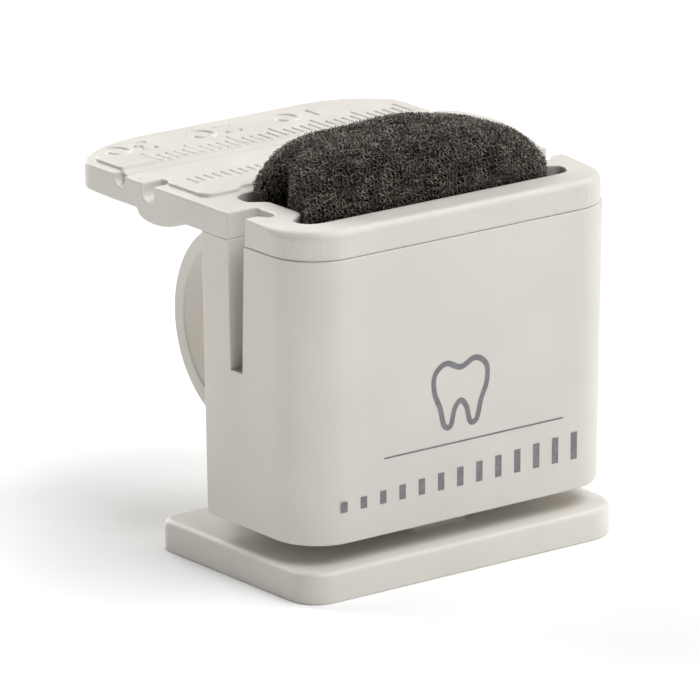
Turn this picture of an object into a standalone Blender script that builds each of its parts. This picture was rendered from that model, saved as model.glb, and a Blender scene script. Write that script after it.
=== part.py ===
"""Finger-worn endodontic file holder with a foam insert and a millimetre ruler table.

Units are metres, +Z is up, +X runs along the ruler and +Y points away from the printed front.
The origin is the middle of the foot plate's underside, which is where the holder stands.
"""

import math

import bmesh
import bpy
from mathutils import Matrix, Vector

MM = 0.001

# Driving dimensions, in millimetres until they reach a mesh.
HALF_LENGTH = 18.85          # half the length of the housing at the seam
TOP_HEIGHT = 35.1            # height of the rim and of the table's upper face
SEAM_HEIGHT = 32.35          # joint between the top frame and the housing
HOUSING_BOTTOM = 4.95        # underside of the housing, above the foot plate
JOINT_GAP = 0.3              # clearance that touching pieces keep

FRONT_Y = -10.9              # front wall of the cup
SLOT_FRONT_Y = -1.85         # cup side of the two side slots, at the rim
SLOT_REAR_Y = 0.75           # leg side of the two side slots
LEG_REAR_Y = 5.1             # rear face of the legs behind the slots
REAR_WALL_Y = 7.7            # rear wall of the housing between the legs
REAR_WALL_HALF = 16.0        # half the width of that rear wall
TABLE_REAR_Y = 27.95         # rear edge of the ruler table
TABLE_SHOULDER_Y = 23.6      # where the table's sides turn towards its rear edge
TABLE_SHOULDER_X = 14.2      # where that slanting edge meets the rear edge
TABLE_SHOULDER_R = 2.6
TABLE_REAR_R = 11.5
FRONT_CORNER_R = 5.0
RIM_SETBACK = 0.12           # how far the cup's rim stands back from the housing's sides
SIDE_DRAFT = 0.4             # how far the housing's sides lean in towards its underside
RIM_FILLET = 0.85            # rounding of the cup's outer top edge
TABLE_FILLET = 0.3           # rounding of the table's lower edge

SLOT_END_X = 15.6            # inner end of each slot
SLOT_STEP_X = 17.3           # where the cup side of each slot steps back
SLOT_STEP = 0.85
SLOT_BOTTOM = 20.0           # lower end of each slot
SLOT_TAPER = 0.8             # how much narrower a slot is at its lower end

POCKET_FRONT_Y = -7.2
POCKET_REAR_Y = 5.5
POCKET_FRONT_END_X = 15.8
POCKET_REAR_END_X = 15.1
POCKET_NUB_X = 13.45         # the pocket's ends step in around the slots
POCKET_NUB_FRONT_Y = -3.5
POCKET_NUB_REAR_Y = 1.6
POCKET_FLOOR = 8.0

PAD_HEIGHT = 0.4             # the two raised ruler pads on the table
PAD_EDGE = 0.15              # rounding of the pads' upper edges
PAD_INSET = 0.95
BACK_PAD_FRONT_Y = 18.0
FRONT_PAD_REAR_Y = 12.2
FRONT_PAD_FRONT_Y = 5.9
FRONT_PAD_END_X = 17.6
PAD_RELIEF = 1.2             # how far the front pad stays behind the pocket
STOP_HEIGHT = 1.22           # the arched end stop beside the ruler's zero
STOP_THICKNESS = 1.0
STOP_FRONT_Y = 1.6
STOP_PEAK_Y = 8.2
STOP_REAR_Y = 18.7

GROOVE_Y = 17.8              # shallow groove in front of the rear pad
GROOVE_RADIUS = 1.05
GROOVE_DEPTH = 0.3
SMALL_NOTCH_RADIUS = 0.85    # notch where the groove leaves the table's left edge
SMALL_NOTCH_DEPTH = 1.2
SMALL_NOTCH_LENGTH = 1.0
DEEP_NOTCH_Y = 13.27
DEEP_NOTCH_RADIUS = 0.95
DEEP_NOTCH_DEPTH = 1.78
DEEP_NOTCH_LENGTH = 2.4
BOSS_DEPTH = 1.1             # rounded thickening under the deep notch
BOSS_Y = 12.4                # its deepest place
BOSS_REAR_RUN = 2.75
BOSS_FRONT_RUN = 4.7
BOSS_LENGTH = 4.0

GRADUATION = 1.0             # pitch of the ruler's engraved lines
GRADUATION_WIDTH = 0.36
ENGRAVING_DEPTH = 0.25
RULER_ZERO_X = 16.42
RULER_COUNT = 30
REAR_LINE_START_Y = 18.7
FRONT_LINE_START_Y = 11.85
SHORT_LINE = 1.8
LONG_LINE = 2.95
FRONT_LINE_FIRST_X = -15.5
NUMERAL_FRONT_Y = 22.5
NUMERAL_HEIGHT = 2.45
NUMERAL_WIDTH = 2.2
NUMERAL_SPACING = 3.15
NUMERAL_SHIFT = 0.3          # from the graduation towards zero
NUMERAL_STROKE = 0.6

RING_CENTRE_Y = 17.6
RING_CENTRE_Z = 17.4
RING_OUTER_R = 10.35
RING_INNER_R = 8.75
RING_HALF_WIDTH = 5.2

FOOT_LEFT_X = -19.1           # the foot reaches a little further on the left
FOOT_RIGHT_X = 18.7
FOOT_HALF_DEPTH = 11.9
FOOT_THICKNESS = 3.0
FOOT_LEFT_FRONT_R = 3.0
FOOT_RIGHT_FRONT_R = 4.2
FOOT_REAR_R = 1.8
FOOT_EDGE_BEVEL = 0.6
POST_HALF_WIDTH = 3.4
POST_FRONT_Y = -6.9
POST_REAR_Y = 5.0

FOAM_CLEARANCE = 0.3
FOAM_CORNER_R = 2.6
FOAM_DOME_HEIGHT = 5.9       # how far the foam stands above the rim
FOAM_DOME_FALL = 1.5         # how much lower the dome is at its right-hand end
FOAM_DOME_RINGS = 9

ARC_STEP = math.radians(11.25)  # fineness of every rounded corner
RING_SEGMENTS = 96

WHITE_PLASTIC = ("white_plastic", (0.78, 0.76, 0.72), 0.42)
DARK_FOAM = ("dark_foam", (0.045, 0.04, 0.034), 0.9)


def clear_scene():
    for obj in list(bpy.data.objects):
        bpy.data.objects.remove(obj)


def make_material(spec):
    name, colour, roughness = spec
    material = bpy.data.materials.get(name) or bpy.data.materials.new(name)
    material.use_nodes = True
    shader = material.node_tree.nodes["Principled BSDF"]
    shader.inputs["Base Color"].default_value = (*colour, 1.0)
    shader.inputs["Roughness"].default_value = roughness
    shader.inputs["Metallic"].default_value = 0.0
    return material


def rounded_outline(corners):
    """Turn (x, y, radius) corners into a closed outline whose corners are arcs."""
    outline = []
    count = len(corners)
    for index, (x, y, radius) in enumerate(corners):
        corner = Vector((x, y))
        before = Vector(corners[index - 1][:2])
        after = Vector(corners[(index + 1) % count][:2])
        if radius <= 0:
            outline.append(corner)
            continue
        to_before = (before - corner).normalized()
        to_after = (after - corner).normalized()
        half_angle = to_before.angle(to_after) / 2
        reach = radius / math.tan(half_angle)
        centre = corner + (to_before + to_after).normalized() * (radius / math.sin(half_angle))
        start = corner + to_before * reach - centre
        sweep = start.angle_signed(corner + to_after * reach - centre)
        steps = max(2, math.ceil(abs(sweep) / ARC_STEP))
        for step in range(steps + 1):
            turn = Matrix.Rotation(-sweep * step / steps, 2)
            outline.append(centre + turn @ start)
    return [(point.x, point.y) for point in outline]


def mirrored_corners(right_half):
    """Add the left half to corners listed from the front centre round the right side to the back."""
    left_half = [(-x, y, radius) for x, y, radius in reversed(right_half)]
    return right_half + left_half


def solid_from_rings(rings, name):
    """Skin a stack of equal-length rings of (x, y, z), in millimetres, and close both ends."""
    mesh = bpy.data.meshes.new(name)
    bm = bmesh.new()
    levels = []
    for ring in rings:
        levels.append([bm.verts.new(Vector(point) * MM) for point in ring])
    for lower, upper in zip(levels, levels[1:]):
        for index in range(len(lower)):
            follower = (index + 1) % len(lower)
            bm.faces.new((lower[index], lower[follower], upper[follower], upper[index]))
    bm.faces.new(list(reversed(levels[0])))
    bm.faces.new(levels[-1])
    bmesh.ops.recalc_face_normals(bm, faces=bm.faces)
    bm.to_mesh(mesh)
    bm.free()
    return mesh


def add_object(name, mesh, material):
    obj = bpy.data.objects.new(name, mesh)
    bpy.context.scene.collection.objects.link(obj)
    mesh.materials.append(material)
    return obj


def prism(name, outline, bottom, top, material):
    rings = [[(x, y, height) for x, y in outline] for height in (bottom, top)]
    return add_object(name, solid_from_rings(rings, name), material)


def box(name, low, high, material):
    outline = [(low[0], low[1]), (high[0], low[1]), (high[0], high[1]), (low[0], high[1])]
    return prism(name, outline, low[2], high[2], material)


def add_boolean(target, other, operation):
    modifier = target.modifiers.new(other.name, "BOOLEAN")
    modifier.operation = operation
    modifier.object = other
    other.hide_render = True
    other.display_type = "WIRE"


def shade_round(obj):
    obj.data.shade_smooth()
    obj.data.set_sharp_from_angle(angle=math.radians(35))


def bevel_edges(obj, wanted, width, segments):
    """Round the edges whose two end points, in millimetres, both satisfy wanted."""
    bm = bmesh.new()
    bm.from_mesh(obj.data)
    edges = [edge for edge in bm.edges if all(wanted(vert.co / MM) for vert in edge.verts)]
    bmesh.ops.bevel(bm, geom=edges, offset=width * MM, segments=segments, profile=0.5, affect="EDGES")
    bm.to_mesh(obj.data)
    bm.free()


def pocket_corners():
    """Plan of the foam pocket, whose ends step in around the slots."""
    return mirrored_corners([
        (POCKET_FRONT_END_X, POCKET_FRONT_Y, 1.7),
        (POCKET_FRONT_END_X, POCKET_NUB_FRONT_Y - 1.5, 0.8),
        (POCKET_NUB_X, POCKET_NUB_FRONT_Y, 1.0),
        (POCKET_NUB_X, POCKET_NUB_REAR_Y, 1.0),
        (POCKET_REAR_END_X, POCKET_NUB_REAR_Y + 1.1, 0.8),
        (POCKET_REAR_END_X, POCKET_REAR_Y, 1.9),
    ])


def slot_cutter(side, material):
    """A slot that is open towards the side and the top, and narrows on its cup side."""
    outer = side * (HALF_LENGTH + 2)
    inner = side * SLOT_END_X

    def section(front, height):
        corners = [
            (outer, front, 0),
            (side * SLOT_STEP_X, front, 0.4),
            (side * (SLOT_STEP_X - 0.5), front - SLOT_STEP, 0.4),
            (inner, front - SLOT_STEP, 0.7),
            (inner, SLOT_REAR_Y, 0.5),
            (outer, SLOT_REAR_Y, 0),
        ]
        return [(x, y, height) for x, y in rounded_outline(corners)]

    rings = [section(SLOT_FRONT_Y + SLOT_TAPER, SLOT_BOTTOM), section(SLOT_FRONT_Y, TOP_HEIGHT + 2)]
    name = "slot_cutter_right" if side > 0 else "slot_cutter_left"
    return add_object(name, solid_from_rings(rings, name), material)


def make_slot_cutters(material):
    return [slot_cutter(side, material) for side in (-1, 1)]


def make_pocket_cutter(material):
    outline = rounded_outline(pocket_corners())
    return prism("pocket_cutter", outline, POCKET_FLOOR, TOP_HEIGHT + 3, material)


def make_housing(material, slots, pocket):
    """Cup, legs and rear wall below the seam, leaning in slightly towards the underside."""
    right_half = [
        (HALF_LENGTH, FRONT_Y, FRONT_CORNER_R),
        (HALF_LENGTH, LEG_REAR_Y, 0.4),
        (REAR_WALL_HALF, LEG_REAR_Y, 0.6),
        (REAR_WALL_HALF, REAR_WALL_Y, 1.4),
    ]
    outline = rounded_outline(mirrored_corners(right_half))
    lean = (HALF_LENGTH - SIDE_DRAFT) / HALF_LENGTH
    middle_y = (FRONT_Y + REAR_WALL_Y) / 2
    rings = [
        [(x * lean, middle_y + (y - middle_y) * lean, HOUSING_BOTTOM) for x, y in outline],
        [(x, y, SEAM_HEIGHT - JOINT_GAP / 2) for x, y in outline],
    ]
    housing = add_object("housing", solid_from_rings(rings, "housing"), material)
    bevel_edges(housing, lambda point: point.z < HOUSING_BOTTOM + 0.01, 0.3, 2)
    for cutter in [*slots, pocket]:
        add_boolean(housing, cutter, "DIFFERENCE")
    shade_round(housing)
    return housing


def table_corners():
    """Plan of the top frame: the rim stands back a little, and steps out inside the side slots."""
    side = HALF_LENGTH - RIM_SETBACK
    step_y = (SLOT_FRONT_Y + SLOT_REAR_Y) / 2
    return mirrored_corners([
        (side, FRONT_Y + RIM_SETBACK, FRONT_CORNER_R),
        (side, step_y - 0.1, 0),
        (HALF_LENGTH, step_y + 0.1, 0),
        (HALF_LENGTH, TABLE_SHOULDER_Y, TABLE_SHOULDER_R),
        (TABLE_SHOULDER_X, TABLE_REAR_Y, TABLE_REAR_R),
    ])


def make_pads(material):
    """The rear pad follows the table's outline, and the front pad is cut back behind the pocket."""
    pad_bottom = TOP_HEIGHT - 0.5
    pad_top = TOP_HEIGHT + PAD_HEIGHT
    edge = HALF_LENGTH - PAD_INSET
    rear_corners = mirrored_corners([
        (edge, BACK_PAD_FRONT_Y, 1.2),
        (edge, TABLE_SHOULDER_Y - PAD_INSET * 0.6, TABLE_SHOULDER_R - PAD_INSET),
        (TABLE_SHOULDER_X - PAD_INSET * 0.3, TABLE_REAR_Y - PAD_INSET, TABLE_REAR_R - PAD_INSET),
    ])
    front_corners = mirrored_corners([
        (POCKET_REAR_END_X - 2.3, POCKET_REAR_Y + PAD_RELIEF, 0.6),
        (POCKET_REAR_END_X - 1.3, FRONT_PAD_FRONT_Y, 0.6),
        (FRONT_PAD_END_X, FRONT_PAD_FRONT_Y, 1.2),
        (FRONT_PAD_END_X, FRONT_PAD_REAR_Y, 0.6),
    ])
    pads = []
    for name, corners in (("rear_pad_guide", rear_corners), ("front_pad_guide", front_corners)):
        pad = prism(name, rounded_outline(corners), pad_bottom, pad_top, material)
        bevel_edges(pad, lambda point: point.z > pad_top - 0.01, PAD_EDGE, 2)
        pads.append(pad)
    return pads


def make_end_stop(material):
    """A low wall along the table's right edge, its top a long arch."""
    steps = 18
    profile = [(STOP_FRONT_Y, TOP_HEIGHT - 0.5)]
    for step in range(steps + 1):
        y = STOP_FRONT_Y + (STOP_REAR_Y - STOP_FRONT_Y) * step / steps
        run = STOP_REAR_Y - STOP_PEAK_Y if y > STOP_PEAK_Y else STOP_PEAK_Y - STOP_FRONT_Y
        share = (y - STOP_PEAK_Y) / run
        profile.append((y, TOP_HEIGHT + 0.02 + STOP_HEIGHT * (1 - share * share)))
    profile.append((STOP_REAR_Y, TOP_HEIGHT - 0.5))
    right = HALF_LENGTH - 0.1
    rings = [[(x, y, z) for y, z in profile] for x in (right - STOP_THICKNESS, right)]
    return add_object("end_stop_guide", solid_from_rings(rings, "end_stop_guide"), material)


def joined_prisms(name, outlines, bottom, top, material):
    """One mesh of separate upright prisms, for cutting many marks in a single boolean."""
    bm = bmesh.new()
    for outline in outlines:
        levels = []
        for height in (bottom, top):
            levels.append([bm.verts.new(Vector((x, y, height)) * MM) for x, y in outline])
        lower, upper = levels
        for index in range(len(lower)):
            follower = (index + 1) % len(lower)
            bm.faces.new((lower[index], lower[follower], upper[follower], upper[index]))
        bm.faces.new(list(reversed(lower)))
        bm.faces.new(upper)
    bmesh.ops.recalc_face_normals(bm, faces=bm.faces)
    mesh = bpy.data.meshes.new(name)
    bm.to_mesh(mesh)
    bm.free()
    return add_object(name, mesh, material)


def line_outline(x, start, end):
    half = GRADUATION_WIDTH / 2
    return [(x - half, start), (x + half, start), (x + half, end), (x - half, end)]


def stroke_outline(path, width):
    """The closed outline of a pen stroke of constant width along a path."""
    left_side = []
    right_side = []
    for index, point in enumerate(path):
        before = Vector(path[max(index - 1, 0)])
        after = Vector(path[min(index + 1, len(path) - 1)])
        along = (after - before).normalized()
        across = Vector((-along.y, along.x)) * (width / 2)
        left_side.append(tuple(Vector(point) + across))
        right_side.append(tuple(Vector(point) - across))
    return left_side + list(reversed(right_side))


def arc_path(centre, radii, start, end, steps):
    """Points on an ellipse from one angle to another, in degrees."""
    path = []
    for step in range(steps + 1):
        angle = math.radians(start + (end - start) * step / steps)
        path.append((centre[0] + radii[0] * math.cos(angle), centre[1] + radii[1] * math.sin(angle)))
    return path


def digit_paths(digit):
    """Two layers of pen strokes of a digit in a box from (0, 0) to (1, 1), with +Y up the digit."""
    if digit == 0:
        left_half = arc_path((0.5, 0.5), (0.5, 0.5), 85, 275, 12)
        right_half = arc_path((0.5, 0.5), (0.5, 0.5), -95, 95, 12)
        return left_half, right_half
    if digit == 1:
        return [(0.5, 0.0), (0.5, 1.0)], None
    if digit == 2:
        bowl = arc_path((0.5, 0.7), (0.45, 0.3), 165, -30, 8)
        return bowl + [(0.05, 0.0), (1.0, 0.0)], None
    upper_bowl = arc_path((0.48, 0.76), (0.42, 0.24), 155, -80, 8)
    lower_bowl = arc_path((0.48, 0.26), (0.48, 0.26), 80, -155, 8)
    return upper_bowl, lower_bowl


def numeral_outlines(layer):
    """One layer of the numerals 10, 20 and 30, upright for a reader behind the table."""
    outlines = []
    for tens in (1, 2, 3):
        middle = RULER_ZERO_X - 10 * tens * GRADUATION + NUMERAL_SHIFT
        for digit, offset in ((tens, 0.5), (0, -0.5)):
            path = digit_paths(digit)[layer]
            if path is None:
                continue
            right_edge = middle + offset * NUMERAL_SPACING + NUMERAL_WIDTH / 2
            placed = []
            for x, y in path:
                placed.append((right_edge - x * NUMERAL_WIDTH, NUMERAL_FRONT_Y + (1 - y) * NUMERAL_HEIGHT))
            outlines.append(stroke_outline(placed, NUMERAL_STROKE))
    return outlines


def graduation_outlines():
    outlines = []
    for count in range(RULER_COUNT + 1):
        length = LONG_LINE if count % 5 == 0 else SHORT_LINE
        x = RULER_ZERO_X - count * GRADUATION
        outlines.append(line_outline(x, REAR_LINE_START_Y, REAR_LINE_START_Y + length))
        length = LONG_LINE - 0.75 if count % 5 == 0 else SHORT_LINE
        x = FRONT_LINE_FIRST_X + count * GRADUATION
        outlines.append(line_outline(x, FRONT_LINE_START_Y - length, FRONT_LINE_START_Y))
    return outlines


def make_engraving_cutters(material):
    """Graduations on both pads and the numerals on the rear pad, in layers without overlaps."""
    surface = TOP_HEIGHT + PAD_HEIGHT
    bottom = surface - ENGRAVING_DEPTH
    first = graduation_outlines() + numeral_outlines(0)
    return [
        joined_prisms("engraving_cutter", first, bottom, surface + 1, material),
        joined_prisms("numeral_cutter", numeral_outlines(1), bottom, surface + 1, material),
    ]


def make_boss(material):
    """The rounded thickening under the deep notch, steeper towards the rear."""
    steps = 12
    top = SEAM_HEIGHT + 1.0
    underside = SEAM_HEIGHT + JOINT_GAP / 2
    profile = [(BOSS_Y + BOSS_REAR_RUN, top), (BOSS_Y - BOSS_FRONT_RUN, top)]
    for step in range(steps + 1):
        share = -1 + 2 * step / steps
        run = BOSS_REAR_RUN if share > 0 else BOSS_FRONT_RUN
        fullness = 0.4 if share > 0 else 0.8
        sag = BOSS_DEPTH * max(0.0, math.cos(share * math.pi / 2)) ** fullness
        profile.append((BOSS_Y + run * share, underside - sag))
    left = -HALF_LENGTH
    rings = [[(x, y, z) for y, z in profile] for x in (left, left + BOSS_LENGTH)]
    return add_object("boss_guide", solid_from_rings(rings, "boss_guide"), material)


def channel_rings(stations, y, radius):
    """Round-bottomed channel along X: stations are (x, depth of its bottom below the table)."""
    steps = 8
    rings = []
    for x, depth in stations:
        bottom = TOP_HEIGHT - depth
        ring = [(x, y + radius, TOP_HEIGHT + 2), (x, y - radius, TOP_HEIGHT + 2)]
        for step in range(steps + 1):
            angle = math.pi * step / steps
            ring.append((x, y - radius * math.cos(angle), bottom + radius * (1 - math.sin(angle))))
        rings.append(ring)
    return rings


def make_groove_cutters(material):
    """The groove right across the table, and the two notches for files in its left edge."""
    left = -HALF_LENGTH - 1
    channels = (
        ("groove_cutter", GROOVE_Y, GROOVE_RADIUS, GROOVE_DEPTH, 2 * HALF_LENGTH + 2),
        ("small_notch_cutter", GROOVE_Y, SMALL_NOTCH_RADIUS, SMALL_NOTCH_DEPTH, SMALL_NOTCH_LENGTH + 1),
        ("deep_notch_cutter", DEEP_NOTCH_Y, DEEP_NOTCH_RADIUS, DEEP_NOTCH_DEPTH, DEEP_NOTCH_LENGTH + 1),
    )
    cutters = []
    for name, y, radius, depth, length in channels:
        rings = channel_rings([(left, depth), (left + length, depth)], y, radius)
        cutters.append(add_object(name, solid_from_rings(rings, name), material))
    return cutters


def make_top_frame(material, slots, pocket):
    """Rim of the cup and the ruler table, in one slab that lies on the housing."""
    bottom = SEAM_HEIGHT + JOINT_GAP / 2
    frame = prism("top_frame", rounded_outline(table_corners()), bottom, TOP_HEIGHT, material)

    def on_rim(point):
        return point.z > TOP_HEIGHT - 0.01 and point.y < SLOT_FRONT_Y

    def under_table(point):
        return point.z < bottom + 0.01 and point.y > TABLE_SHOULDER_Y - TABLE_SHOULDER_R

    bevel_edges(frame, on_rim, RIM_FILLET, 4)
    bevel_edges(frame, under_table, TABLE_FILLET, 2)
    for addition in [*make_pads(material), make_end_stop(material), make_boss(material)]:
        add_boolean(frame, addition, "UNION")
    cutters = [*slots, pocket, *make_groove_cutters(material), *make_engraving_cutters(material)]
    for cutter in cutters:
        add_boolean(frame, cutter, "DIFFERENCE")
    shade_round(frame)
    return frame


def make_finger_ring(material):
    """Short tube along X for a finger, cut flat where it lies on the housing's rear wall."""
    front = REAR_WALL_Y + JOINT_GAP
    outer = []
    inner = []
    for index in range(RING_SEGMENTS):
        angle = 2 * math.pi * index / RING_SEGMENTS
        across = math.cos(angle)
        rise = math.sin(angle)
        outer_y = max(front, RING_CENTRE_Y + RING_OUTER_R * across)
        outer.append((outer_y, RING_CENTRE_Z + RING_OUTER_R * rise))
        inner.append((RING_CENTRE_Y + RING_INNER_R * across, RING_CENTRE_Z + RING_INNER_R * rise))
    bm = bmesh.new()
    loops = []
    for x in (-RING_HALF_WIDTH, RING_HALF_WIDTH):
        for section in (outer, inner):
            loops.append([bm.verts.new(Vector((x, y, z)) * MM) for y, z in section])
    left_outer, left_inner, right_outer, right_inner = loops
    for first, second in (
        (left_outer, right_outer),
        (right_outer, right_inner),
        (right_inner, left_inner),
        (left_inner, left_outer),
    ):
        for index in range(RING_SEGMENTS):
            follower = (index + 1) % RING_SEGMENTS
            bm.faces.new((first[index], first[follower], second[follower], second[index]))
    bmesh.ops.recalc_face_normals(bm, faces=bm.faces)
    mesh = bpy.data.meshes.new("finger_ring")
    bm.to_mesh(mesh)
    bm.free()
    ring = add_object("finger_ring", mesh, material)
    shade_round(ring)
    return ring


def make_foot_plate(material):
    """Flat base plate with the post that carries the housing."""
    corners = [
        (FOOT_RIGHT_X, -FOOT_HALF_DEPTH, FOOT_RIGHT_FRONT_R),
        (FOOT_RIGHT_X, FOOT_HALF_DEPTH, FOOT_REAR_R),
        (FOOT_LEFT_X, FOOT_HALF_DEPTH, FOOT_REAR_R),
        (FOOT_LEFT_X, -FOOT_HALF_DEPTH, FOOT_LEFT_FRONT_R),
    ]
    foot = prism("foot_plate", rounded_outline(corners), 0, FOOT_THICKNESS, material)
    bevel_edges(foot, lambda point: point.z > FOOT_THICKNESS - 0.01, FOOT_EDGE_BEVEL, 3)
    post_top = HOUSING_BOTTOM - JOINT_GAP
    post = prism(
        "post_guide",
        rounded_outline(mirrored_corners([
            (POST_HALF_WIDTH, POST_FRONT_Y, 0.8),
            (POST_HALF_WIDTH, POST_REAR_Y, 0.8),
        ])),
        FOOT_THICKNESS - 1.0,
        post_top,
        material,
    )
    add_boolean(foot, post, "UNION")
    shade_round(foot)
    return foot


def make_foam_insert(material):
    """Foam block between the pocket's nubs, standing above the rim as a low uneven dome."""
    end = POCKET_NUB_X - FOAM_CLEARANCE
    outline = rounded_outline(mirrored_corners([
        (end, POCKET_FRONT_Y + FOAM_CLEARANCE, FOAM_CORNER_R),
        (end, POCKET_REAR_Y - FOAM_CLEARANCE, FOAM_CORNER_R),
    ]))
    centre_y = (POCKET_FRONT_Y + POCKET_REAR_Y) / 2
    rings = [[(x, y, height) for x, y in outline] for height in (POCKET_FLOOR + FOAM_CLEARANCE, TOP_HEIGHT)]
    for index in range(1, FOAM_DOME_RINGS + 1):
        angle = math.radians(84) * index / FOAM_DOME_RINGS
        shrink_x = math.cos(angle) ** 0.5
        shrink_y = math.cos(angle) ** 0.5
        ring = []
        for x, y in outline:
            fall = FOAM_DOME_FALL * (x * shrink_x + end) / (2 * end)
            height = TOP_HEIGHT + (FOAM_DOME_HEIGHT - fall) * math.sin(angle)
            ring.append((x * shrink_x, centre_y + (y - centre_y) * shrink_y, height))
        rings.append(ring)
    foam = add_object("foam_insert", solid_from_rings(rings, "foam_insert"), material)
    shade_round(foam)
    return foam


def main():
    clear_scene()
    white = make_material(WHITE_PLASTIC)
    foam = make_material(DARK_FOAM)
    slots = make_slot_cutters(white)
    pocket = make_pocket_cutter(white)
    make_housing(white, slots, pocket)
    make_top_frame(white, slots, pocket)
    make_finger_ring(white)
    make_foot_plate(white)
    make_foam_insert(foam)


main()
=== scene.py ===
"""Looks of the endodontic file holder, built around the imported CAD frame."""

import math

import bmesh
import bpy
import numpy as np
from mathutils import Matrix, Vector


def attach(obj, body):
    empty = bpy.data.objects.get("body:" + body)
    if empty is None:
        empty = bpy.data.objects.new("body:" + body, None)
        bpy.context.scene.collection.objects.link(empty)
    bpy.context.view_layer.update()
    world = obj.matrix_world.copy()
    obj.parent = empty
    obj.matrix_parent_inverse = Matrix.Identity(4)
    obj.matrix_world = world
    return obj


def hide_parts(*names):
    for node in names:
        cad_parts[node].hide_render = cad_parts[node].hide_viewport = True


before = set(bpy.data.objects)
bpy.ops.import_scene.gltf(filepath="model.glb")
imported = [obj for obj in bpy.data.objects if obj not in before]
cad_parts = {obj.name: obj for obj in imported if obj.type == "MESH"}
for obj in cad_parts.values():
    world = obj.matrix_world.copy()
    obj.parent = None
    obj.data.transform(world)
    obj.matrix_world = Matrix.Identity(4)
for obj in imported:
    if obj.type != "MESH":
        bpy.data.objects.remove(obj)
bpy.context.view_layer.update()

MM = 0.001

CAMERA_AZIMUTH = math.radians(-37.49)
CAMERA_ELEVATION = math.radians(16.462)
CAMERA_ROLL = math.radians(-0.138)
CAMERA_DISTANCE = 753.55 * MM
CAMERA_TARGET = Vector((-5.458, -0.25, 19.739)) * MM
CAMERA_LENS = 414.4
SENSOR_WIDTH = 36.0

# Sizes of the holder that the looks need, in millimetres.
RIM = 35.1
SEAM = 32.35
HOUSING_BOTTOM = 4.95
HOUSING_REAR_Y = 7.7
HOUSING_TOP_Y = -10.9        # front wall at the seam
HOUSING_BOTTOM_Y = -10.703   # front wall at its lower edge
LEG_FRONT_Y = -0.5           # inside the slots, between the cup and the legs
JOINT_GAP = 0.3              # air that the CAD leaves at each glued joint
SEAM_LINE = 0.01             # what stays open of it along the visible seam
ROOT_LINE = 0.05             # and at the roots of the ring and the foot

# Rounds of the mouldings' edges, and the fine remesh of the top frame.
HOUSING_EDGE = 0.1
RING_EDGE = 0.2
FOOT_EDGE = 0.15
EDGE_ANGLE = math.radians(32)
VOXEL = 0.1
SMOOTH_ROUNDS = 3
KEPT_SHARE = 0.3

PLASTIC_COLOUR = (0.685, 0.657, 0.607)
STRAND_COLOURS = (
    (0.105, 0.09, 0.071),
    (0.12, 0.102, 0.08),
    (0.26, 0.225, 0.185),
    (0.055, 0.046, 0.035),
)
STRAND_LIMITS = (0.0, 0.23, 0.46, 0.75, 1.0)   # how the strands are shared out among the colours
# Near-black painted shade for the foam's core, standing in for the shadowed depths of the open cells.
CORE_SHADE_COLOUR = (0.004, 0.0033, 0.0026)
INK_COLOUR = (0.19, 0.185, 0.20)
FLOOR_COLOUR = (0.95, 0.95, 0.95)

# Azimuth (0 is the front, 90 the right), elevation, strength and spread of each light.
LIGHTS = {
    "front softbox": (20, 60, 1.81, 40),
    "right softbox": (90, 50, 1.44, 50),
    "right fill": (75, 15, 0.51, 40),
    "front fill": (0, 20, 0.1, 50),
    "rear softbox": (180, 25, 2.67, 50),
}
AMBIENT = 0.06

# The foam at the rim, in millimetres.
FOAM_LEFT = -13.35
FOAM_RIGHT = 13.95
FOAM_FRONT = -7.0
FOAM_REAR = 5.25
FOAM_HEIGHT = 5.6            # dome above the rim
FOAM_FALL = 0.6              # how much lower the dome is at its right end
FOAM_BOTTOM = 8.4
FOAM_MIDDLE = (0.4, -0.35)
FOAM_REACH = (14, 7, 6.5)    # rough half sizes, for rays out of the middle
FRONT_BULGE = 0.45
REAR_OVERHANG = 1.15
NUB_CREASE_Y = 1.0           # where the pocket's left nub dents the foam
LEFT_DENT = 2.2
RIGHT_DENT = 0.8
LOBE_Y = -6.3                # the foam swells into the pocket's front left corner
LOBE_SWELL = 1.7
HEEL_Y = 4.6                 # and a little into its rear left corner
HEEL_SWELL = 0.25

# The foam's cells, in millimetres.
FOAM_CELL = 0.54             # period of the strand lattice
STRAND_RADIUS = 0.042
STRAND_OVERLAP = 0.01        # strands run into each other by this much at their ends
FOAM_SKIN = 0.62             # depth of open cells over the core, which is painted near black as shade
FOAM_BOX_LOW = (-15.5, -9.0, RIM - 2.2)   # where strands are looked for
FOAM_BOX_HIGH = (16.0, 8.5, RIM + 7.5)
LOOSE_END = 0.22             # how far a strand may stand out of the surface
SEARCH_MARGIN = 1.2
SKIN_LOW = RIM - 1.8         # the strands end here, inside the pocket
CORE_DEPTH = FOAM_SKIN * 0.8
CORE_SHOULDER = RIM - 1.5
SIDE_TOP = RIM - 1.9         # from here down the core is as wide as the foam
SIDE_DEPTH = 0.12
NUB_LIMIT = 13.3             # the foam's lower ends stay clear of the pocket's nubs
NUB_LOW_Y = -4.2
NUB_HIGH_Y = 2.2

# The print on the front wall, in millimetres.
INK_PROUD = 0.02
HALF_TOOTH = (
    (0.0, 1.35), (1.1, 1.75), (1.95, 1.2), (2.0, 0.1), (1.55, -1.0),
    (1.25, -2.1), (0.75, -2.2), (0.45, -1.2),
)
TOOTH_CROTCH = (0.0, -0.75)
TOOTH_SCALE = 1.55
TOOTH_X = -0.6
TOOTH_Z = 17.6
TOOTH_LINE = 0.55
RULE_Z = 12.45
RULE_LEFT = -9.6
RULE_RIGHT = 11.7
RULE_LINE = 0.16
BAR_COUNT = 13
BAR_LEFT = -14.2
BAR_PITCH = 2.27
BAR_BOTTOM = 8.1
BAR_HEIGHT = 1.0             # of the first bar
BAR_RISE = 0.14              # from each bar to the next
BAR_LINE = 0.75


def link(obj):
    bpy.context.scene.collection.objects.link(obj)
    return obj


# --- materials ------------------------------------------------------------

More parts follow.
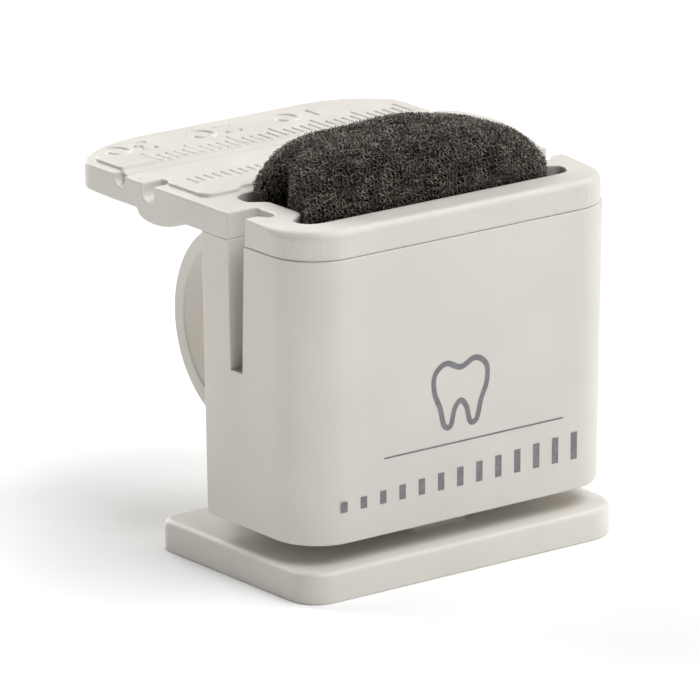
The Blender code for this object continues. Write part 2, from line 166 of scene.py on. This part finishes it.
def plain_material(name, colour, roughness, specular=0.5):
    material = bpy.data.materials.new(name)
    material.use_nodes = True
    shader = material.node_tree.nodes["Principled BSDF"]
    shader.inputs["Base Color"].default_value = (*colour, 1)
    shader.inputs["Roughness"].default_value = roughness
    shader.inputs["Specular IOR Level"].default_value = specular
    return material


def add_noise(material, size, detail):
    """The value of a noise in the object's own coordinates, with features of the given size."""
    nodes = material.node_tree.nodes
    links = material.node_tree.links
    place = nodes.new("ShaderNodeTexCoord")
    noise = nodes.new("ShaderNodeTexNoise")
    noise.inputs["Scale"].default_value = 1 / size
    noise.inputs["Detail"].default_value = detail
    links.new(place.outputs["Object"], noise.inputs["Vector"])
    return noise.outputs["Fac"]


def vary_colour(material, noise, dark, light, low=0.35, high=0.65):
    """The base colour runs from dark to light over the middle of the noise's range."""
    ramp = material.node_tree.nodes.new("ShaderNodeValToRGB")
    ramp.color_ramp.elements[0].position = low
    ramp.color_ramp.elements[0].color = (*dark, 1)
    ramp.color_ramp.elements[1].position = high
    ramp.color_ramp.elements[1].color = (*light, 1)
    links = material.node_tree.links
    links.new(noise, ramp.inputs["Fac"])
    links.new(ramp.outputs["Color"], material.node_tree.nodes["Principled BSDF"].inputs["Base Color"])


def vary_roughness(material, noise, low, high):
    spread = material.node_tree.nodes.new("ShaderNodeMapRange")
    spread.inputs["From Min"].default_value = 0.3
    spread.inputs["From Max"].default_value = 0.7
    spread.inputs["To Min"].default_value = low
    spread.inputs["To Max"].default_value = high
    links = material.node_tree.links
    links.new(noise, spread.inputs["Value"])
    links.new(spread.outputs["Result"], material.node_tree.nodes["Principled BSDF"].inputs["Roughness"])


def add_bump(material, noise, height, strength):
    bump = material.node_tree.nodes.new("ShaderNodeBump")
    bump.inputs["Strength"].default_value = strength
    bump.inputs["Distance"].default_value = height
    links = material.node_tree.links
    links.new(noise, bump.inputs["Height"])
    links.new(bump.outputs["Normal"], material.node_tree.nodes["Principled BSDF"].inputs["Normal"])


def shaded(colour, factor):
    return tuple(min(part * factor, 1.0) for part in colour)


def moulded_plastic():
    """Warm white plastic with slow tone changes, satin patches and the fine grain of a blasted mould."""
    material = plain_material("white plastic", PLASTIC_COLOUR, 0.42)
    clouds = add_noise(material, 9 * MM, 2)
    vary_colour(material, clouds, shaded(PLASTIC_COLOUR, 0.975), shaded(PLASTIC_COLOUR, 1.02))
    satin_patches = add_noise(material, 2.2 * MM, 3)
    vary_roughness(material, satin_patches, 0.36, 0.5)
    mould_grain = add_noise(material, 0.35 * MM, 2)
    add_bump(material, mould_grain, 0.02 * MM, 0.35)
    return material


def foam_material(name, colour):
    """Slightly shiny polymer strands, whose tone drifts over patches of the block."""
    material = plain_material(name, colour, 0.45, 0.6)
    tone_patches = add_noise(material, 1.6 * MM, 3)
    vary_colour(material, tone_patches, shaded(colour, 0.7), shaded(colour, 1.35))
    gloss_patches = add_noise(material, 0.6 * MM, 2)
    vary_roughness(material, gloss_patches, 0.35, 0.6)
    return material


def foam_side_material():
    """Open cells drawn as a texture, for the foam's lower sides that only show when it is pulled out,
    with painted shade in the cells' hollows.
    """
    material = plain_material("foam side", STRAND_COLOURS[0], 0.6, 0.3)
    nodes = material.node_tree.nodes
    place = nodes.new("ShaderNodeTexCoord")
    cells = nodes.new("ShaderNodeTexVoronoi")
    cells.feature = "DISTANCE_TO_EDGE"
    cell_size = 0.75 * FOAM_CELL * MM
    cells.inputs["Scale"].default_value = 1 / cell_size
    material.node_tree.links.new(place.outputs["Object"], cells.inputs["Vector"])
    # Strand colour at the cell walls, running into near-black painted shade towards the middle of each
    # cell.
    wall, hole_shade = 0.02, 0.15
    vary_colour(material, cells.outputs["Distance"], STRAND_COLOURS[1], CORE_SHADE_COLOUR, wall, hole_shade)
    return material


# --- camera and stage -----------------------------------------------------

def add_camera():
    data = bpy.data.cameras.new("camera")
    data.lens = CAMERA_LENS
    data.sensor_width = SENSOR_WIDTH
    data.clip_start = 0.01
    camera = link(bpy.data.objects.new("camera", data))
    backwards = Vector((
        math.sin(CAMERA_AZIMUTH) * math.cos(CAMERA_ELEVATION),
        -math.cos(CAMERA_AZIMUTH) * math.cos(CAMERA_ELEVATION),
        math.sin(CAMERA_ELEVATION),
    ))
    camera.location = CAMERA_TARGET + backwards * CAMERA_DISTANCE
    turn = backwards.to_track_quat("Z", "Y").to_euler()
    turn.rotate_axis("Z", CAMERA_ROLL)
    camera.rotation_euler = turn
    bpy.context.scene.camera = camera


def add_sun(name, azimuth, elevation, strength, spread):
    """A sun whose light comes from an azimuth and an elevation, in degrees."""
    data = bpy.data.lights.new(name, "SUN")
    data.energy = strength
    data.angle = math.radians(spread)
    sun = link(bpy.data.objects.new(name, data))
    turn = math.radians(azimuth)
    rise = math.radians(elevation)
    towards = Vector((
        math.sin(turn) * math.cos(rise),
        -math.cos(turn) * math.cos(rise),
        math.sin(rise),
    ))
    sun.rotation_euler = towards.to_track_quat("Z", "Y").to_euler()


def add_stage():
    bpy.ops.mesh.primitive_plane_add(size=3)
    floor = bpy.context.object
    floor.name = "floor"
    floor.data.materials.append(plain_material("floor", FLOOR_COLOUR, 0.9, 0.0))
    for name, (azimuth, elevation, strength, spread) in LIGHTS.items():
        add_sun(name, azimuth, elevation, strength, spread)
    world = bpy.data.worlds.new("surroundings")
    bpy.context.scene.world = world
    world.use_nodes = True
    background = world.node_tree.nodes["Background"]
    background.inputs[0].default_value = (1, 1, 1, 1)
    background.inputs[1].default_value = AMBIENT


# --- white mouldings ------------------------------------------------------

def cleaned_mesh(node, snaps):
    """A bmesh copy of a CAD node, welded, with its drawn joints closed.

    Each snap (axis, old, new, low_y, high_y) moves a level where Y lies between the last two.
    """
    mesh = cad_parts[node].data.copy()
    if "custom_normal" in mesh.attributes:
        mesh.attributes.remove(mesh.attributes["custom_normal"])
    bm = bmesh.new()
    bm.from_mesh(mesh)
    bpy.data.meshes.remove(mesh)
    bmesh.ops.remove_doubles(bm, verts=bm.verts, dist=1e-6)
    for axis, old, new, low_y, high_y in snaps:
        for vert in bm.verts:
            if abs(vert.co[axis] - old * MM) < 1e-5 and low_y < vert.co.y / MM < high_y:
                vert.co[axis] = new * MM
    return bm


def finish_moulding(node, mesh, material):
    mesh.name = node + "_moulding"
    mesh.materials.clear()
    mesh.materials.append(material)
    obj = link(bpy.data.objects.new(node + "_moulding", mesh))
    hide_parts(node)
    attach(obj, "holder")
    return obj


def bevelled_moulding(node, snaps, material, edge):
    """A moulding of plain shape, whose sharp edges get a small round."""
    bm = cleaned_mesh(node, snaps)
    bmesh.ops.dissolve_limit(
        bm, angle_limit=math.radians(0.4), use_dissolve_boundaries=False,
        verts=bm.verts, edges=bm.edges,
    )
    for face in bm.faces:
        face.smooth = True
    for bm_edge in bm.edges:
        bm_edge.smooth = True
    mesh = bpy.data.meshes.new(node)
    bm.to_mesh(mesh)
    bm.free()
    obj = finish_moulding(node, mesh, material)
    bevel = obj.modifiers.new("soft edges", "BEVEL")
    bevel.width = edge * MM
    bevel.segments = 3
    bevel.limit_method = "ANGLE"
    bevel.angle_limit = EDGE_ANGLE
    bevel.use_clamp_overlap = False
    bevel.harden_normals = True


def softened_moulding(node, snaps, material):
    """A moulding with many small features, remeshed finely and smoothed so that all edges turn soft."""
    bm = cleaned_mesh(node, snaps)
    for vert in bm.verts:
        vert.co /= MM
    mesh = bpy.data.meshes.new(node)
    bm.to_mesh(mesh)
    bm.free()
    helper = link(bpy.data.objects.new(node + "_helper", mesh))
    remesh = helper.modifiers.new("remesh", "REMESH")
    remesh.mode = "VOXEL"
    remesh.voxel_size = VOXEL
    remesh.use_smooth_shade = True
    smooth = helper.modifiers.new("smooth", "SMOOTH")
    smooth.factor = 0.5
    smooth.iterations = SMOOTH_ROUNDS
    decimate = helper.modifiers.new("decimate", "DECIMATE")
    decimate.ratio = KEPT_SHARE
    evaluated = helper.evaluated_get(bpy.context.evaluated_depsgraph_get())
    soft = bpy.data.meshes.new_from_object(evaluated)
    bpy.data.objects.remove(helper)
    soft.transform(Matrix.Scale(MM, 4))
    finish_moulding(node, soft, material)


def add_mouldings():
    """The four mouldings, with the gaps at their glued joints closed but for a fine line."""
    plastic = moulded_plastic()
    low = SEAM - JOINT_GAP / 2
    high = SEAM + JOINT_GAP / 2
    bevelled_moulding("housing", [
        (2, low, SEAM - SEAM_LINE, -20, LEG_FRONT_Y),
        (2, low, high - SEAM_LINE, LEG_FRONT_Y, 20),
    ], plastic, HOUSING_EDGE)
    softened_moulding("top_frame", [(2, high, SEAM + SEAM_LINE, -20, LEG_FRONT_Y)], plastic)
    ring_root = HOUSING_REAR_Y + JOINT_GAP
    bevelled_moulding("finger_ring", [
        (1, ring_root, HOUSING_REAR_Y + ROOT_LINE, 0, 20),
    ], plastic, RING_EDGE)
    post_top = HOUSING_BOTTOM - JOINT_GAP
    bevelled_moulding("foot_plate", [
        (2, post_top, HOUSING_BOTTOM - ROOT_LINE, -20, 20),
    ], plastic, FOOT_EDGE)


# --- foam -----------------------------------------------------------------

def smooth_step(value):
    value = np.clip(value, 0, 1)
    return value * value * (3 - 2 * value)


def hump(value, centre, width):
    """A bell curve of height 1."""
    return np.exp(-((value - centre) / width) ** 2)


def foam_field(points):
    """How far out a point lies, as a share of the foam's size: 1 is the foam's outer surface."""
    x, y, z = points.T
    above = np.maximum(z - RIM, 0)
    nub = hump(y, NUB_CREASE_Y, 1.35) * hump(above, 0, 3.4)
    lobe = hump(y, LOBE_Y, 2.0) * hump(above, 0, 1.8)
    heel = hump(y, HEEL_Y, 1.8) * hump(above, 0, 1.6)
    left = FOAM_LEFT + LEFT_DENT * nub - LOBE_SWELL * lobe - HEEL_SWELL * heel
    right = FOAM_RIGHT - RIGHT_DENT * nub
    front = FOAM_FRONT - FRONT_BULGE * hump(above, 1.4, 1.3)
    rear = FOAM_REAR + REAR_OVERHANG * (1 - np.exp(-above / 0.9))
    height = FOAM_HEIGHT - FOAM_FALL * smooth_step((x - 2.0) / 10.0)
    height = height + 0.12 * np.sin(x * 0.55 + 0.6) + 0.08 * np.sin(y * 0.9 + x * 0.3)
    u = np.abs((x - (left + right) / 2) / ((right - left) / 2))
    v = np.abs((y - (front + rear) / 2) / ((rear - front) / 2))
    power = 3.6 + 3.4 * hump(above, 0, 1.8)   # boxy in the pocket, rounder above the rim
    plan = (u ** power + v ** power) ** (1 / power)
    return (plan ** 3 + (above / height) ** 3) ** (1 / 3)


def foam_depth(points):
    """Signed distance below the foam's surface, in millimetres, positive inside."""
    value = foam_field(points)
    step = 0.02
    slope = np.zeros_like(value)
    for axis in range(3):
        shifted = points.copy()
        shifted[:, axis] += step
        slope += ((foam_field(shifted) - value) / step) ** 2
    return (1 - value) / np.maximum(np.sqrt(slope), 1e-4)


def period_edges():
    """The 24 edges of one period of a lattice of truncated octahedra, as pairs of points."""
    corners = []
    for a, b, c in ((0, 1, 2), (0, 2, 1), (1, 0, 2), (1, 2, 0), (2, 0, 1), (2, 1, 0)):
        for s in (-1, 1):
            for t in (-1, 1):
                point = [0.0, 0.0, 0.0]
                point[b] = 0.25 * s
                point[c] = 0.5 * t
                if point not in corners:
                    corners.append(point)
    corners = np.array(corners)
    found = {}
    for centre in ((0, 0, 0), (0.5, 0.5, 0.5)):
        for i in range(len(corners)):
            for j in range(i + 1, len(corners)):
                if abs(np.linalg.norm(corners[i] - corners[j]) - 0.5 / math.sqrt(2)) > 0.01:
                    continue
                pair = np.array([corners[i], corners[j]]) + centre
                middle = pair.mean(axis=0)
                shift = np.floor(middle + 1e-6)
                key = tuple(np.round((middle - shift) * 16).astype(int))
                found.setdefault(key, pair - shift)
    return np.array(list(found.values()))


def warp(points, random):
    """Move points by a smooth random field, so that the lattice loses its rows."""
    moved = points.copy()
    waves = ((0.9, 0.032, 14), (1.9, 0.05, 8), (5.0, 0.12, 6))
    for wavelength, amount, count in waves:
        for _ in range(count):
            direction = random.normal(size=3)
            direction /= np.linalg.norm(direction)
            turn = 2 * math.pi / (wavelength * FOAM_CELL)
            phase = random.uniform(0, 2 * math.pi)
            push = random.normal(size=3) * amount * FOAM_CELL
            moved += np.sin(points @ (direction * turn) + phase)[:, None] * push
    return moved


def strand_ends(random):
    """Ends of every strand in the open skin of the foam, as an array of pairs of points."""
    low = np.array(FOAM_BOX_LOW)
    high = np.array(FOAM_BOX_HIGH)
    middle = (low + high) / 2
    reach = np.linalg.norm(high - low) / 2
    steps = int(math.ceil(reach / FOAM_CELL)) + 1
    axis = np.arange(-steps, steps + 1)
    turn, _ = np.linalg.qr(random.normal(size=(3, 3)))
    base = period_edges()
    kept = []
    for i in axis:
        grid = np.stack(np.meshgrid([i], axis, axis, indexing="ij"), axis=-1).reshape(-1, 3)
        centres = (grid * FOAM_CELL) @ turn.T + middle
        inside = np.all((centres > low) & (centres < high), axis=1)
        grid = grid[inside]
        if len(grid) == 0:
            continue
        near = foam_depth(centres[inside])
        grid = grid[(near > -SEARCH_MARGIN) & (near < FOAM_SKIN + SEARCH_MARGIN)]
        pairs = (grid[:, None, None, :] + base[None]) * FOAM_CELL
        kept.append(pairs.reshape(-1, 2, 3) @ turn.T + middle)
    pairs = np.concatenate(kept)
    flat = warp(pairs.reshape(-1, 3), random)
    depth = foam_depth(flat).reshape(-1, 2)
    deeper = depth.max(axis=1)
    shallower = depth.min(axis=1)
    pairs = flat.reshape(-1, 2, 3)
    wanted = (deeper > 0) & (shallower < FOAM_SKIN) & (shallower > -LOOSE_END)
    wanted &= pairs[:, :, 2].min(axis=1) > SKIN_LOW
    return pairs[wanted]


def mesh_from_arrays(name, verts, faces, material, smooth):
    mesh = bpy.data.meshes.new(name)
    mesh.vertices.add(len(verts))
    mesh.vertices.foreach_set("co", (verts * MM).astype(np.float32).ravel())
    sides = faces.shape[1]
    mesh.loops.add(faces.size)
    mesh.loops.foreach_set("vertex_index", faces.astype(np.int32).ravel())
    mesh.polygons.add(len(faces))
    mesh.polygons.foreach_set("loop_start", np.arange(0, faces.size, sides, dtype=np.int32))
    mesh.update(calc_edges=True)
    mesh.validate()
    if smooth:
        mesh.shade_smooth()
    mesh.materials.append(material)
    return link(bpy.data.objects.new(name, mesh))


def add_strands(name, pairs, radii, material):
    """One object with a three-sided prism for each strand."""
    start = pairs[:, 0]
    end = pairs[:, 1]
    along = end - start
    along /= np.maximum(np.linalg.norm(along, axis=1), 1e-6)[:, None]
    helper = np.where(np.abs(along[:, 2:3]) < 0.8, [[0.0, 0.0, 1.0]], [[1.0, 0.0, 0.0]])
    side = np.cross(along, helper)
    side /= np.linalg.norm(side, axis=1)[:, None]
    up = np.cross(along, side)
    rings = []
    for place in (start - along * STRAND_OVERLAP, end + along * STRAND_OVERLAP):
        for step in range(3):
            angle = 2 * math.pi * step / 3
            rings.append(place + (side * math.cos(angle) + up * math.sin(angle)) * radii[:, None])
    verts = np.stack(rings, axis=1).reshape(-1, 3)
    base = np.arange(len(pairs))[:, None] * 6
    quads = []
    for step in range(3):
        follower = (step + 1) % 3
        quads.append(base + np.array([[step, follower, follower + 3, step + 3]]))
    faces = np.stack(quads, axis=1).reshape(-1, 4)
    return mesh_from_arrays(name, verts, faces, material, True)


def foam_surface_point(bearings, rises, depth):
    """The points at the given depth on rays from the foam's middle, for whole arrays of rays."""
    reach_x, reach_y, reach_z = FOAM_REACH
    rays = np.stack([
        np.cos(bearings) * np.cos(rises) * reach_x,
        np.sin(bearings) * np.cos(rises) * reach_y,
        np.sin(rises) * reach_z,
    ], axis=-1)
    origin = np.array([*FOAM_MIDDLE, RIM])
    low = np.zeros(len(rays))
    high = np.full(len(rays), 1.6)
    for _ in range(22):
        middle = (low + high) / 2
        outside = foam_depth(origin + rays * middle[:, None]) < depth
        high = np.where(outside, middle, high)
        low = np.where(outside, low, middle)
    return origin + rays * low[:, None]


def core_rings(around, up):
    """Rings of points round the core, from its bottom to just below its crown."""
    bearings = np.arange(around) * 2 * math.pi / around
    wall = foam_surface_point(bearings, np.zeros(around), CORE_DEPTH)
    side = foam_surface_point(bearings, np.zeros(around), SIDE_DEPTH)
    beside_nub = (side[:, 1] > NUB_LOW_Y) & (side[:, 1] < NUB_HIGH_Y)
    side[:, 0] = np.where(beside_nub, np.clip(side[:, 0], -NUB_LIMIT, NUB_LIMIT), side[:, 0])
    rings = []
    for height, outline in ((FOAM_BOTTOM, side), (SIDE_TOP, side), (CORE_SHOULDER, wall)):
        ring = outline.copy()
        ring[:, 2] = height
        rings.append(ring)
    for level in range(up):
        rises = np.full(around, (math.pi / 2) * level / up)
        rings.append(foam_surface_point(bearings, rises, CORE_DEPTH))
    return rings


def add_core(material, random):
    """Body of the foam below its open skin, pressed into the pocket, painted near black as the shade
    deep in its cells.
    """
    around = 220
    rings = core_rings(around, 46)
    verts = np.concatenate(rings)
    verts = verts + random.normal(size=verts.shape) * 0.03
    top = foam_surface_point(np.zeros(1), np.full(1, math.pi / 2), CORE_DEPTH)
    bottom = np.array([[*FOAM_MIDDLE, FOAM_BOTTOM]])
    verts = np.concatenate([verts, top, bottom])
    faces = []
    last = (len(rings) - 1) * around
    for base in range(0, last, around):
        for index in range(around):
            a = base + index
            b = base + (index + 1) % around
            faces.append((a, b, b + around))
            faces.append((a, b + around, a + around))
    for index in range(around):
        follower = (index + 1) % around
        faces.append((last + index, last + follower, len(verts) - 2))
        faces.append((follower, index, len(verts) - 1))
    core = mesh_from_arrays("foam_core", verts, np.array(faces), material, True)
    core.data.materials.append(foam_side_material())
    for polygon in core.data.polygons:
        if polygon.center.z < (SIDE_TOP - 0.05) * MM:
            polygon.material_index = 1
    return core


def add_foam():
    random = np.random.default_rng(7)
    # The core's material is painted shade: near black, with a random mottle.
    dark = plain_material("foam core shade", CORE_SHADE_COLOUR, 0.95, 0.1)
    mottling = add_noise(dark, 0.8 * MM, 2)
    vary_colour(dark, mottling, shaded(CORE_SHADE_COLOUR, 0.5), shaded(CORE_SHADE_COLOUR, 1.8))
    core = add_core(dark, random)
    pieces = [core]
    pairs = strand_ends(random)
    share = random.uniform(size=len(pairs))
    for index, colour in enumerate(STRAND_COLOURS):
        chosen = pairs[(share >= STRAND_LIMITS[index]) & (share < STRAND_LIMITS[index + 1])]
        radii = STRAND_RADIUS * random.uniform(0.8, 1.25, size=len(chosen))
        name = "foam_strands_%d" % (index + 1)
        pieces.append(add_strands(name, chosen, radii, foam_material(name, colour)))
    for piece in pieces:
        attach(piece, "foam")
    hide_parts("foam_insert")


# --- print ----------------------------------------------------------------

def front_point(x, z):
    """A point just in front of the leaning front wall."""
    share = (z - HOUSING_BOTTOM) / (SEAM - HOUSING_BOTTOM)
    return (x, HOUSING_BOTTOM_Y + (HOUSING_TOP_Y - HOUSING_BOTTOM_Y) * share - INK_PROUD, z)


def ink_band(path, width, closed):
    """A flat ribbon of ink along a path of (x, z) on the front wall, as vertices and faces."""
    count = len(path)
    verts = []
    faces = []
    for index, (x, z) in enumerate(path):
        before = Vector(path[(index - 1) % count if closed else max(index - 1, 0)])
        after = Vector(path[(index + 1) % count if closed else min(index + 1, count - 1)])
        along = (after - before).normalized()
        across = Vector((-along.y, along.x)) * (width / 2)
        verts.append(front_point(x + across.x, z + across.y))
        verts.append(front_point(x - across.x, z - across.y))
    last = count if closed else count - 1
    for index in range(last):
        a = index * 2
        b = (index + 1) % count * 2
        faces.append((a, a + 1, b + 1, b))
    return verts, faces


def smooth_closed(points, steps):
    """A closed Catmull-Rom curve through points."""
    path = []
    count = len(points)
    for index in range(count):
        p0, p1, p2, p3 = [Vector(points[(index + k) % count]) for k in (-1, 0, 1, 2)]
        for step in range(steps):
            t = step / steps
            path.append(tuple(0.5 * (
                2 * p1 + (p2 - p0) * t + (2 * p0 - 5 * p1 + 4 * p2 - p3) * t * t
                + (3 * p1 - p0 - 3 * p2 + p3) * t ** 3
            )))
    return path


def add_print():
    """Generic grey print: a tooth outline over a rule, and a row of bars of rising height."""
    ink = plain_material("grey ink", INK_COLOUR, 0.5)
    mottling = add_noise(ink, 0.5 * MM, 3)
    vary_colour(ink, mottling, shaded(INK_COLOUR, 0.88), shaded(INK_COLOUR, 1.14))
    vary_roughness(ink, add_noise(ink, 0.9 * MM, 2), 0.42, 0.58)
    left_half = [(-x, z) for x, z in reversed(HALF_TOOTH[1:])]
    tooth = smooth_closed([*HALF_TOOTH, TOOTH_CROTCH, *left_half], 6)
    outline = [(x * TOOTH_SCALE + TOOTH_X, z * TOOTH_SCALE + TOOTH_Z) for x, z in tooth]
    bands = [
        ink_band(outline, TOOTH_LINE, True),
        ink_band([(RULE_LEFT, RULE_Z), (RULE_RIGHT, RULE_Z)], RULE_LINE, False),
    ]
    for index in range(BAR_COUNT):
        x = BAR_LEFT + index * BAR_PITCH
        top = BAR_BOTTOM + BAR_HEIGHT + BAR_RISE * index
        bands.append(ink_band([(x, BAR_BOTTOM), (x, top)], BAR_LINE, False))
    verts = []
    faces = []
    for band_verts, band_faces in bands:
        base = len(verts)
        verts.extend(band_verts)
        faces.extend([tuple(base + index for index in face) for face in band_faces])
    obj = mesh_from_arrays("front_print", np.array(verts), np.array(faces), ink, False)
    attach(obj, "holder")


add_camera()
add_stage()
add_mouldings()
add_foam()
add_print()
scene = bpy.context.scene
scene.view_settings.view_transform = "Standard"
